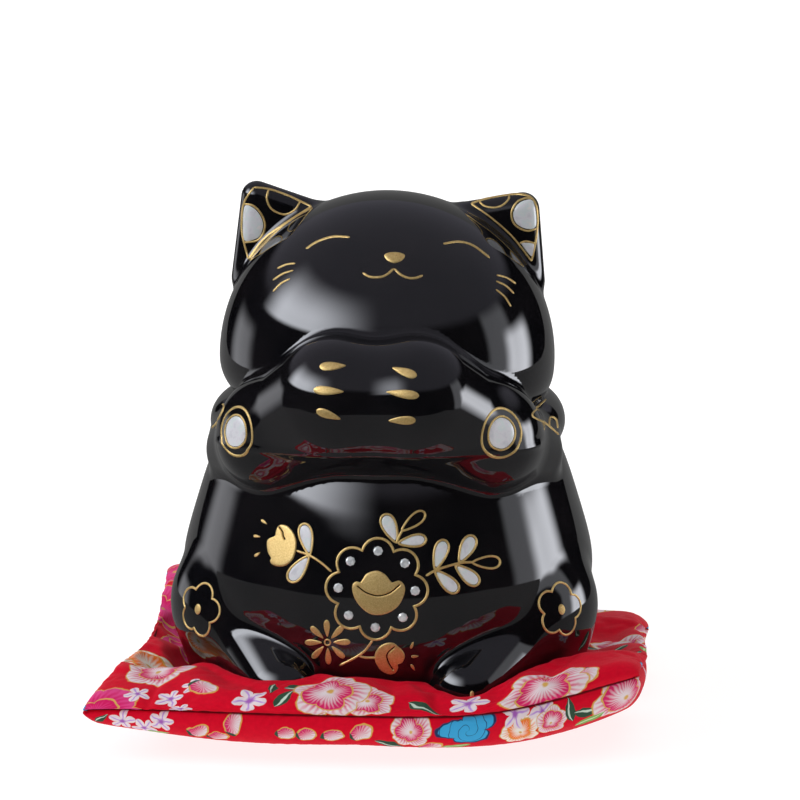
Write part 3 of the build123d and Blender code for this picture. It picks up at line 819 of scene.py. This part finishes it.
def panel(a, b, upper):
    """Points of one panel of the cushion, in millimetres in the row frame."""
    profile = rolled if upper else tucked
    way_a, way_b = (1 - np.abs(a)) * HALF_CLOTH, (1 - np.abs(b)) * HALF_CLOTH
    (in_a, up_a), (in_b, up_b) = profile(way_a), profile(way_b)
    reach = profile(HALF_CLOTH)[0]
    groove_a, groove_b = (GROOVE * share(way, GROOVE_WIDE, -GROOVE_WIDE) ** 2 for way in (way_a, way_b))
    p = coons(np.sign(a) * (1 - (in_a + groove_a) / reach), np.sign(b) * (1 - (in_b + groove_b) / reach))
    puff = up_a * up_b
    if not upper:
        p[..., 2] = p[..., 2] * (1 - puff) + 0.4 * puff
        return p
    # How high the crest of the roll stands over each seam. The front one dips at its ends and under the right foot
    front = (9.6 - 6.0 * share(a, -0.3, -0.4) - 2.6 * hump(p[..., 0], 22, 26) - 5.0 * hump(p[..., 0], 45, 15)
             - 2.5 * share(a, 0.6, 0.4))
    crests = ((front, 1.02 + b), (9.0, 1.02 - b), (5.5, 1.02 + a), (8.0, 1.02 - a))
    near = [1 / away ** 2 for _, away in crests]
    p[..., 2] += puff * sum(n * crest for n, (crest, _) in zip(near, crests)) / sum(near)
    return p


def step_up(x, at, soft):
    """A smooth rise from 0 to 1 at a place; a fall if soft is negative."""
    return 1 / (1 + np.exp(-(x - at) / soft))


def press(p):
    """The cat's weight: cloth sinks a little next to the cat and lies flat under it."""
    x, y = p[:, 0], p[:, 1]
    beside = clay(p - CAT)
    left_trough = hump(x, -84, 13) * step_up(y, -62, 7) * step_up(y, 50, -9)
    right_trough = hump(x, 97, 15) * step_up(y, -50, 6) * step_up(y, 60, -9)
    sink = 2.5 * share(beside, 6, -6) ** 2 + 14 * left_trough + 8 * right_trough
    under = share(beside, 0, -6)
    under = under * under * (3 - 2 * under)
    p = p.copy()
    p[:, 2] = (p[:, 2] - sink) * (1 - under) + np.minimum(p[:, 2], 13.0) * under
    return p


def clear_of_cat(p, gap=0.9):
    """Moves cloth out of the clay, and up off the table."""
    for _ in range(4):
        q = p - CAT
        close = clay(q) < gap
        if close.any():
            p[close] += unit(slope_of(clay, q[close])) * (gap - clay(q[close]))[:, None]
    p[:, 2] = np.maximum(p[:, 2], 0.35)
    return p


def corners_of(grid):
    """The four corners of each cell of a grid, counter-clockwise."""
    return [grid[:-1, :-1], grid[1:, :-1], grid[1:, 1:], grid[:-1, 1:]]


def cushion_mesh(count):
    """One closed skin: the upper panel, the lower panel and the seam that they share. Returns points, quads, flat
    cloth positions of every face corner, how many faces are the upper panel and how firm every point is."""
    t = np.linspace(-1, 1, count)
    t = np.sign(t) * (1 - (1 - np.abs(t)) ** 1.3)
    a, b = np.meshgrid(t, t, indexing="ij")
    top = press(panel(a, b, True).reshape(-1, 3))
    low = panel(a, b, False).reshape(-1, 3)
    number = np.arange(count * count).reshape(count, count)
    inner = np.zeros((count, count), bool)
    inner[1:-1, 1:-1] = True
    below = number.copy()
    below[inner] = count * count + np.arange(inner.sum())
    points = np.vstack([top, low[inner.ravel()]])
    place = np.stack(corners_of(np.stack([a, b], -1) * HALF_CLOTH), -2).reshape(-1, 4, 2)
    upper_faces, lower_faces = (np.stack(corners_of(grid), -1).reshape(-1, 4) for grid in (number, below))
    nearer, further = (HALF_CLOTH * (1 - pick(np.abs(a), np.abs(b))).ravel() for pick in (np.maximum, np.minimum))
    firm = np.maximum(0.8 * hump(nearer, 0, 5), np.clip(1.5 - further / 30, 0, 1))
    firm = np.append(firm, np.full(len(points) - len(top), 0.93))
    return (clear_of_cat(points), np.concatenate([upper_faces, lower_faces[:, ::-1]]),
            np.concatenate([place, place[:, ::-1]]), len(upper_faces), firm)


def simulated(cushion, firm):
    """Lets pressure fill the cushion and pull the cloth tight from its seams, with the part under the cat held."""
    rest = np.array([v.co for v in cushion.data.vertices]) * 1000
    under = share(clay(rest - CAT), 3.5, -2.5) * (rest[:, 2] > 10)
    table = share(rest[:, 2], 3, -2)
    held = cushion.vertex_groups.new(name="held")
    for i, w in enumerate(np.maximum(np.maximum(under, table), firm)):
        if w > 0.01:
            held.add([i], float(w), "REPLACE")
    cloth = cushion.modifiers.new("cloth", "CLOTH")
    for key, value in {"quality": 6, "mass": 0.2, "tension_stiffness": 18, "compression_stiffness": 18,
                       "shear_stiffness": 8, "bending_stiffness": 0.6, "use_pressure": True,
                       "uniform_pressure_force": 3.0, "shrink_min": -0.035, "vertex_group_mass": "held"}.items():
        setattr(cloth.settings, key, value)
    cloth.settings.effector_weights.gravity = 0
    cloth.collision_settings.use_collision = False
    cloth.point_cache.frame_end = 24
    for number in range(1, 17):
        bpy.context.scene.frame_set(number)
    now = cushion.evaluated_get(bpy.context.evaluated_depsgraph_get()).to_mesh()
    moved = np.array([v.co for v in now.vertices]) * 1000
    cushion.modifiers.remove(cloth)
    cushion.vertex_groups.clear()
    bpy.context.scene.frame_set(1)
    step = moved - rest
    most = 7.0  # the furthest that a point may move
    return rest + step * np.minimum(1, most / np.maximum(np.linalg.norm(step, axis=1)[:, None], 1e-6))


def cushion_cloth():
    points, faces, flats, upper_count, firm = cushion_mesh(111)
    cushion = mesh_object("cushion_cloth", points, faces, local=False)
    cushion.data.uv_layers.new(name="cloth").data.foreach_set("uv", flats.reshape(-1) / 1000)
    cushion.data.polygons.foreach_set("material_index", (np.arange(len(faces)) >= upper_count).astype(np.int32))
    soft = clear_of_cat(simulated(cushion, firm))
    cushion.data.vertices.foreach_set("co", (soft / 1000).ravel())
    smooth = cushion.modifiers.new("smooth", "SUBSURF")
    smooth.levels = smooth.render_levels = 1
    return cushion


# ---------------------------------------------------------------- printed cloth
class Wire:
    """A value in a node tree, so that a sum of values can be written as one."""

    def __init__(self, tree, out):
        self.tree, self.out = tree, out

    def do(self, kind, *others, clamp=False):
        values = [v.out if isinstance(v, Wire) else v for v in (self, *others)]
        return Wire(self.tree, node(self.tree, "Math", *values, operation=kind, use_clamp=clamp).outputs[0])

    __add__ = partialmethod(do, "ADD")
    __sub__ = partialmethod(do, "SUBTRACT")
    __mul__ = partialmethod(do, "MULTIPLY")
    __truediv__ = partialmethod(do, "DIVIDE")
    __pow__ = partialmethod(do, "POWER")
    __abs__ = partialmethod(do, "ABSOLUTE")
    sine = partialmethod(do, "SINE")

    def above(self, edge, soft):
        """1 where the value is over the edge, 0 under it, with a soft step between."""
        return ((self - edge) / soft + 0.5).do("ADD", 0.0, clamp=True)

    def under(self, edge, soft):
        """1 where the value is under the edge, 0 over it, with a soft step between."""
        return (self * -1).above(-edge, soft)


def parts_of(tree, place):
    """The x, y and z of a place."""
    return [Wire(tree, out) for out in node(tree, "SeparateXYZ", place).outputs]


def vector(tree, operation, *values, **named):
    return node(tree, "VectorMath", *values, operation=operation, **named).outputs[0]


def blend_colour(tree, mask, under, over):
    """The colour over where the mask is 1, and the colour under where it is 0."""
    under, over = ((*colour, 1) if isinstance(colour, tuple) else colour for colour in (under, over))
    made = node(tree, "Mix", data_type="RGBA", Factor=mask.out)
    return give(tree, made, {6: under, 7: over}).outputs[2]  # the sockets for colours


def motif(name, draw):
    """A node group that lays one printed motif over the colour that comes in. draw gets the tree, the place on the
    motif (x, y, distance and bearing from its middle) and gives (mask, colour)."""
    tree = bpy.data.node_groups.new(name, "ShaderNodeTree")
    for socket, kind in (("Under", "Color"), ("Cloth", "Vector"), ("Place", "Vector"), ("Repeat", "Vector"),
                         ("Turn", "Float"), ("Size", "Float")):
        tree.interface.new_socket(socket, in_out="INPUT", socket_type="NodeSocket" + kind)
    tree.interface.new_socket("Colour", in_out="OUTPUT", socket_type="NodeSocketColor")
    given, end = tree.nodes.new("NodeGroupInput").outputs, tree.nodes.new("NodeGroupOutput")
    away = vector(tree, "SUBTRACT", given["Cloth"], given["Place"])
    half, minus = (vector(tree, "SCALE", given["Repeat"], Scale=part) for part in (0.5, -0.5))
    wrapped = vector(tree, "WRAP", away, half, minus)
    turned = node(tree, "VectorRotate", rotation_type="Z_AXIS", Vector=wrapped, Angle=given["Turn"]).outputs[0]
    size = node(tree, "CombineXYZ", *[given["Size"]] * 3).outputs[0]
    x, y, _ = parts_of(tree, vector(tree, "DIVIDE", turned, size))
    mask, colour = draw(tree, x, y, (x * x + y * y) ** 0.5, y.do("ARCTAN2", x))
    tree.links.new(blend_colour(tree, mask, given["Under"], colour), end.inputs["Colour"])
    return tree


PINK, HOT, WHITE, GILT = (0.72, 0.02, 0.14), (0.78, 0.06, 0.26), (0.84, 0.72, 0.74), (0.72, 0.42, 0.1)
RED, LILAC, SPRIG, SKY = (0.74, 0.0, 0.02), (0.55, 0.3, 0.72), (0.035, 0.085, 0.05), (0.05, 0.4, 0.72)


def petals(r, bearing, count, deep, size=1.0, turn=0.0):
    """Distance outwards as a share of the edge of a ring of petals."""
    lobe = abs((bearing * (count / 2) + turn).do("COSINE")) ** 0.7
    return r / ((lobe * deep + (1 - deep)) * size)


def peony(edge, heart):
    def draw(tree, x, y, r, bearing):
        veins = (bearing * 31 + (r * 9).sine()).sine() * 0.16
        outer = petals(r, bearing + (r * 2.2).sine() * 0.16, 5, 0.22)
        inner = petals((x * x + (y + 0.1) * (y + 0.1)) ** 0.5, bearing, 4, 0.3, 0.62, 0.9)
        colour = blend_colour(tree, (outer + veins).above(0.66, 0.5), heart, edge)
        colour = blend_colour(tree, inner.under(1.08, 0.02), colour, GILT)
        core = blend_colour(tree, (inner + veins).above(0.55, 0.6), edge, heart)
        colour = blend_colour(tree, inner.under(1.0, 0.02), colour, core)
        colour = blend_colour(tree, r.under(0.08, 0.05), colour, GILT)
        colour = blend_colour(tree, outer.above(0.96, 0.02), colour, GILT)
        return outer.under(1.0, 0.03), colour
    return draw


def draw_blossom(tree, x, y, r, bearing):
    rib = abs((bearing * 2.5).do("COSINE")) ** 14
    colour = blend_colour(tree, (rib - r * 0.9).above(0.12, 0.5), WHITE, LILAC)
    colour = blend_colour(tree, r.under(0.22, 0.2), colour, (0.4, 0.12, 0.5))
    return petals(r, bearing, 5, 0.62).under(1.0, 0.06), colour


def leafy(body, light):
    def draw(tree, x, y, r, bearing):
        wide = (x * x * -1 + 1) * (x * -0.16 + 0.4)
        across = y / wide.do("MAXIMUM", 0.001)
        colour = blend_colour(tree, abs(across + 0.3).under(0.2, 0.1), body, light)
        return abs(across).under(1.0, 0.12) * abs(x).under(0.99, 0.02), colour
    return draw


def draw_bud(tree, x, y, r, bearing):
    edge = (x * x + y * y * 2.4) ** 0.5
    stripes = (bearing * 17).sine() * 0.2
    colour = blend_colour(tree, (y + stripes + x * 0.3).above(0.0, 0.9), PINK, WHITE)
    colour = blend_colour(tree, edge.above(0.86, 0.04), colour, GILT)
    colour = blend_colour(tree, (x * -1).above(0.72, 0.06), colour, SPRIG)
    return edge.under(1.0, 0.05), colour


def draw_butterfly(tree, x, y, r, bearing):
    low = y * 1.9
    outer = petals((x * x + low * low) ** 0.5, low.do("ARCTAN2", x) + 0.4, 3, 0.42, turn=0.5)
    curl = abs((r * 11 + bearing).sine())
    colour = blend_colour(tree, curl.under(0.1, 0.08), SKY, (0.02, 0.05, 0.16))
    colour = blend_colour(tree, outer.above(0.9, 0.03), colour, (0.02, 0.04, 0.12))
    return outer.under(1.0, 0.05), colour


MOTIFS = {name: motif(name, draw) for name, draw in {
    "peony": peony(WHITE, PINK), "hot_peony": peony(HOT, (0.7, 0.01, 0.12)),
    "orange_flower": peony((0.92, 0.86, 0.78), (0.9, 0.2, 0.03)), "blossom": draw_blossom,
    "dark_leaf": leafy(SPRIG, (0.6, 0.72, 0.6)), "light_leaf": leafy((0.22, 0.42, 0.1), (0.6, 0.75, 0.4)),
    "bud": draw_bud, "butterfly": draw_butterfly}.items()}

# A motif near the front or the back seam comes again near the other one, so much cloth away; the others come once
SEAM_REPEAT, NO_REPEAT = 222, 1000
# Motif, place on the flat cloth (mm), size (mm), turn (degrees)
UPPER_PRINT = [
    ("hot_peony", -112, 96, 24, 10), ("hot_peony", -116, 44, 25, 40), ("hot_peony", -96, 8, 16, 80),
    ("orange_flower", -106, -52, 22, 150), ("peony", -92, -84, 17, 200),
    ("blossom", -95, -109, 6.2, 20), ("blossom", -79, -112, 6.2, 70), ("blossom", -70, -104, 6.0, 45),
    ("blossom", -73, -122, 5.4, 10), ("butterfly", -124, -119, 7, 30),
    ("dark_leaf", -36, -106, 5.6, 95), ("dark_leaf", -25, -104, 6.2, -12), ("dark_leaf", -29, -114, 7, -58),
    ("bud", -14, -121, 5.4, 60), ("bud", -6, -120, 5.4, 80), ("peony", 6, -114, 11.5, 30),
    ("bud", 76, -110, 5.4, 20), ("light_leaf", 84, -110, 6.4, 80), ("bud", 95, -112, 8.5, 70),
    ("dark_leaf", 112, -40, 9, 60), ("dark_leaf", 102, -18, 10, 140), ("light_leaf", 120, -24, 13, 100),
    ("peony", 108, 26, 18, 60), ("blossom", 120, -2, 7, 10), ("blossom", 98, -58, 7, 30), ("dark_leaf", 94, 12, 8, 20),
    ("bud", 118, 66, 8, 100), ("butterfly", 124, 122, 8, 60), ("peony", 78, 108, 20, 15), ("blossom", 46, 112, 8, 0),
    ("dark_leaf", 30, 106, 9, 30), ("peony", -10, 112, 17, 50), ("blossom", -44, 106, 8, 25), ("bud", -66, 116, 8, 40),
    ("peony", 20, 10, 30, 0), ("hot_peony", -46, -40, 24, 35), ("blossom", 50, -56, 10, 15),
    ("dark_leaf", -10, 52, 14, 60),
]
LOWER_PRINT = [
    ("blossom", -98, -120, 6.3, 10), ("blossom", -88, -116.4, 5.8, 50), ("blossom", -80, -121.2, 5.3, 80),
    ("light_leaf", -84, -112.2, 6.2, 20), ("dark_leaf", -108, -120.6, 4.8, 40),
    ("bud", -65, -117.6, 5.3, 30), ("bud", -57, -115.2, 4.4, 10), ("bud", -50, -121.8, 5.6, 70),
    ("bud", -28, -118.8, 4.4, 0), ("bud", -19, -118.2, 4.8, 10), ("bud", -8, -118.2, 4.9, 5),
    ("bud", 4, -119.4, 5.3, 30),
    ("peony", 24, -120.6, 8.4, 75), ("dark_leaf", 15, -112.8, 6.6, 150), ("butterfly", 46, -120.9, 13, 8),
    ("light_leaf", 41, -111, 6.2, 15), ("bud", 31, -111, 5.5, 30), ("orange_flower", 67, -117, 8.4, 20),
    ("blossom", 65, -124.2, 5.5, 5), ("blossom", 76, -123, 5.5, 40), ("peony", 80, -118.2, 6.6, 0),
    ("dark_leaf", 88, -120.6, 5.7, 100), ("dark_leaf", 95, -117.6, 5.3, -10), ("peony", 112, -117.6, 15.4, 35),
    ("light_leaf", 96, -111.6, 7.5, 20), ("hot_peony", -114, -60, 20, 30), ("blossom", -118, -20, 9, 15),
    ("dark_leaf", -112, 6, 10, 80), ("peony", -112, 48, 20, 60), ("bud", -118, 86, 9, 40), ("blossom", 116, -60, 9, 10),
    ("peony", 112, 0, 19, 30), ("dark_leaf", 116, 40, 10, 60), ("orange_flower", 114, 76, 12, 0),
]


def printed_cloth(name, motifs):
    mat, tree = shader(name, Roughness=0.72, Sheen_Weight=0.03, Sheen_Roughness=0.5, Specular_IOR_Level=0.1)
    place = vector(tree, "SCALE", node(tree, "UVMap", uv_map="cloth").outputs["UV"], Scale=1000.0)
    wobble = node(tree, "TexNoise", Vector=place, Scale=0.16, Detail=2.0).outputs["Color"]
    shift = vector(tree, "SCALE", vector(tree, "SUBTRACT", wobble, (0.5, 0.5, 0.5)), Scale=3.2)
    cloth = vector(tree, "ADD", place, shift)
    tone = node(tree, "TexNoise", Vector=place, Scale=0.5, Detail=3.0).outputs["Fac"]
    colour = ramp(tree, tone, [(0.3, (0.66, 0.0, 0.018)), (0.7, RED)])
    for kind, a, b, size, turn in motifs:
        repeat = SEAM_REPEAT if abs(b) > 95 else NO_REPEAT
        stamp = node(tree, "Group", node_tree=MOTIFS[kind])
        give(tree, stamp, {"Place": (a, b, 0), "Repeat": (NO_REPEAT, repeat, NO_REPEAT), "Turn": math.radians(turn),
                           "Size": size, "Under": colour, "Cloth": cloth})
        colour = stamp.outputs["Colour"]
    # Painted shade: a thin dark red line along the seam, where the two panels meet, stands in for the shadow in the
    # crease there.
    x, y, _ = parts_of(tree, place)
    seam_crease_shade = abs(x).do("MAXIMUM", abs(y)).above(HALF_CLOTH - 0.55, 0.5)
    feed(tree, Base_Color=blend_colour(tree, seam_crease_shade, colour, (0.12, 0.0, 0.004)))
    warp, weft = (Wire(tree, node(tree, "TexWave", bands_direction=axis, Vector=place, Scale=0.55,
                                  Distortion=0.6).outputs["Fac"]) for axis in "XY")
    bumped(tree, (warp * weft).out, 0.25, 0.0002)
    return mat


cushion = cushion_cloth()
cushion.data.materials.append(printed_cloth("printed_cloth_upper", UPPER_PRINT))
cushion.data.materials.append(printed_cloth("printed_cloth_lower", LOWER_PRINT))
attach(cushion, "cushion")
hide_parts("cushion_top_cover", "cushion_bottom_cover", "cushion_filling")


# ---------------------------------------------------------------- stage, light and camera
def staged(name, points, faces, mat):
    """A piece of the studio, from points in metres."""
    thing = mesh_object(name, np.array(points) * 1000, faces, local=False)
    thing.data.materials.append(mat)
    return thing


def studio():
    """A sweep of white paper that glows a little, and more towards the back, so that it stays white in every view. The
    glaze sees a dimmer paper, as the photograph's glaze does."""
    mat, tree = grained("studio_paper", {"Scale": 3.0}, [(0.3, (0.26, 0.258, 0.256)), (0.7, (0.28, 0.278, 0.276))],
                        Roughness=0.9, Specular_IOR_Level=0.0, Emission_Color=(1, 0.99, 0.985, 1))
    y = parts_of(tree, place_of(tree))[1]
    glow = node(tree, "MapRange", Value=y.out, From_Min=0.15, From_Max=0.8, To_Min=0.86, To_Max=1.05)
    feed(tree, Emission_Strength=glow.outputs["Result"])
    dim = node(tree, "Emission", Strength=0.16).outputs["Emission"]
    mix = node(tree, "MixShader", node(tree, "LightPath").outputs["Is Glossy Ray"],
               tree.nodes["Principled BSDF"].outputs["BSDF"], dim)
    tree.links.new(mix.outputs["Shader"], tree.nodes["Material Output"].inputs["Surface"])
    profile = [(-0.62, 0.0), (0.9, 0.0), (1.15, 0.03), (1.36, 0.12), (1.5, 0.3), (1.56, 0.55), (1.58, 1.5)]
    count = len(profile)
    staged("studio_sweep", [(x, y, z) for x in (-1.0, 1.0) for y, z in profile],
           [(i + 1, i, i + count, i + count + 1) for i in range(count - 1)], mat)


def bearing(azimuth, elevation):
    """A direction from the cat: 0 in front, 90 on its +X side, and a height, in degrees."""
    a, e = math.radians(azimuth), math.radians(elevation)
    return Vector((math.sin(a) * math.cos(e), -math.cos(a) * math.cos(e), math.sin(e)))


def lamp(name, emission, strength=1.0):
    """A black material that only glows; returns it and its node tree."""
    return shader(name, Base_Color=(0, 0, 0, 1), Roughness=1.0, Specular_IOR_Level=0.0, Emission_Color=emission,
                  Emission_Strength=strength)


CAT_MIDDLE = Vector((0.004, 0.004, 0.11))  # what the lights surround, in metres
TENT_RADIUS = 1.95
# Where each patch begins and ends around the cat and in height, how softly at each of the four sides, how bright it is
# and which colour. A patch that ends before it begins runs the other way, and is bright only where both sides overlap.
PATCHES = [((-200, 200), (31, 100), (1, 1, 8, 1), 0.2, (1.0, 0.98, 1.16)),
           ((-58, -80), (22.5, 27), (58, 26, 3.5, 26), 6.2, (0.95, 0.98, 1.06)),
           ((-108, -118), (-16, 6), (12, 14, 8, 8), 1.0, (0.97, 0.98, 1.04)),
           ((99, 110), (-22, 8), (10, 12, 8, 8), 5.0, (0.96, 0.98, 1.05)),
           ((80, 96), (-4, 22), (6, 8, 5, 8), 0.8, (0.96, 0.98, 1.05))]


def light_tent():
    """A large dim tent of cloth around the stage, lit from outside in soft patches."""
    mat, tree = lamp("tent_cloth", (1, 1, 1, 1))
    x, y, z = parts_of(tree, node(tree, "TexCoord").outputs["Object"])
    turn = x.do("ARCTAN2", y * -1) * (180 / math.pi)
    height = (z / TENT_RADIUS).do("ARCSINE") * (180 / math.pi)

    def side(value, edge, soft):
        """0 a softness outside the edge, 1 at the edge; soft is negative where the patch lies below the edge."""
        t = ((value - (edge - soft)) / soft).do("ADD", 0.0, clamp=True)
        return t * t * (t * -2 + 3)

    total = None
    for (a0, a1), (e0, e1), (soft_a0, soft_a1, soft_e0, soft_e1), power, tint in PATCHES:
        way = 1 if a1 > a0 else -1
        lit = (side(turn, a0, way * soft_a0) * side(turn, a1, -way * soft_a1) * side(height, e0, soft_e0)
               * side(height, e1, -soft_e1) * power)
        light = vector(tree, "SCALE", tint, Scale=lit.out)
        total = light if total is None else vector(tree, "ADD", total, light)
    feed(tree, Emission_Color=total)
    turns, rises = 48, 24
    points = [(0, 0, -TENT_RADIUS), *(tuple(bearing(i * 360 / turns, 180 * j / rises - 90) * TENT_RADIUS)
                                      for j in range(1, rises) for i in range(turns)), (0, 0, TENT_RADIUS)]
    faces = [(1 + j * turns + i, 1 + j * turns + (i + 1) % turns, 1 + (j + 1) * turns + (i + 1) % turns,
              1 + (j + 1) * turns + i) for j in range(rises - 2) for i in range(turns)]
    last = len(points) - 1
    faces += [(0, 1 + (i + 1) % turns, 1 + i) for i in range(turns)]
    faces += [(last, last - turns + i, last - turns + (i + 1) % turns) for i in range(turns)]
    tent = staged("light_tent", points, faces, mat)
    tent.location = CAT_MIDDLE
    tent.visible_camera = False


def fill_sheet(name, azimuth, elevation, distance, size, brightness):
    """A soft sheet of light that is kept out of the reflections in the glaze."""
    away = bearing(azimuth, elevation)
    w, h = size[0] / 2, size[1] / 2
    sheet = staged(name, [(-w, -h, 0), (w, -h, 0), (w, h, 0), (-w, h, 0)], [(0, 1, 2, 3)],
                   lamp(name + "_glow", (1, 1, 1, 1), brightness)[0])
    sheet.location = CAT_MIDDLE + away * distance
    sheet.rotation_mode = "QUATERNION"
    sheet.rotation_quaternion = away.to_track_quat("-Z", "Y")
    sheet.visible_camera = sheet.visible_glossy = False


studio()
light_tent()
fill_sheet("fill_above", 180, 84, 1.4, (2.4, 2.2), 0.85)
fill_sheet("fill_front", -8, 38, 1.45, (1.8, 1.2), 0.9)

world = bpy.data.worlds.new("studio_air")
world.use_nodes = True
air = world.node_tree
seen = Wire(air, node(air, "LightPath").outputs["Is Camera Ray"]) * 0.98 + 0.02  # white to the camera, dim to the rest
give(air, air.nodes["Background"], {"Color": (1, 1, 1, 1), "Strength": seen.out})
bpy.context.scene.world = world
bpy.context.scene.view_settings.view_transform = "Standard"

lens = bpy.data.cameras.new("camera")
lens.lens, lens.sensor_width = 155.25, 36
lens.clip_end = 20
camera = bpy.data.objects.new("camera", lens)
bpy.context.scene.collection.objects.link(camera)
camera.location = Vector((CAT + 5.2 * FRONT.right + 116.5 * FRONT.up + 1500 * FRONT.out) / 1000)
camera.rotation_mode = "QUATERNION"
camera.rotation_quaternion = Vector(FRONT.out).to_track_quat("Z", "Y")
bpy.context.scene.camera = camera
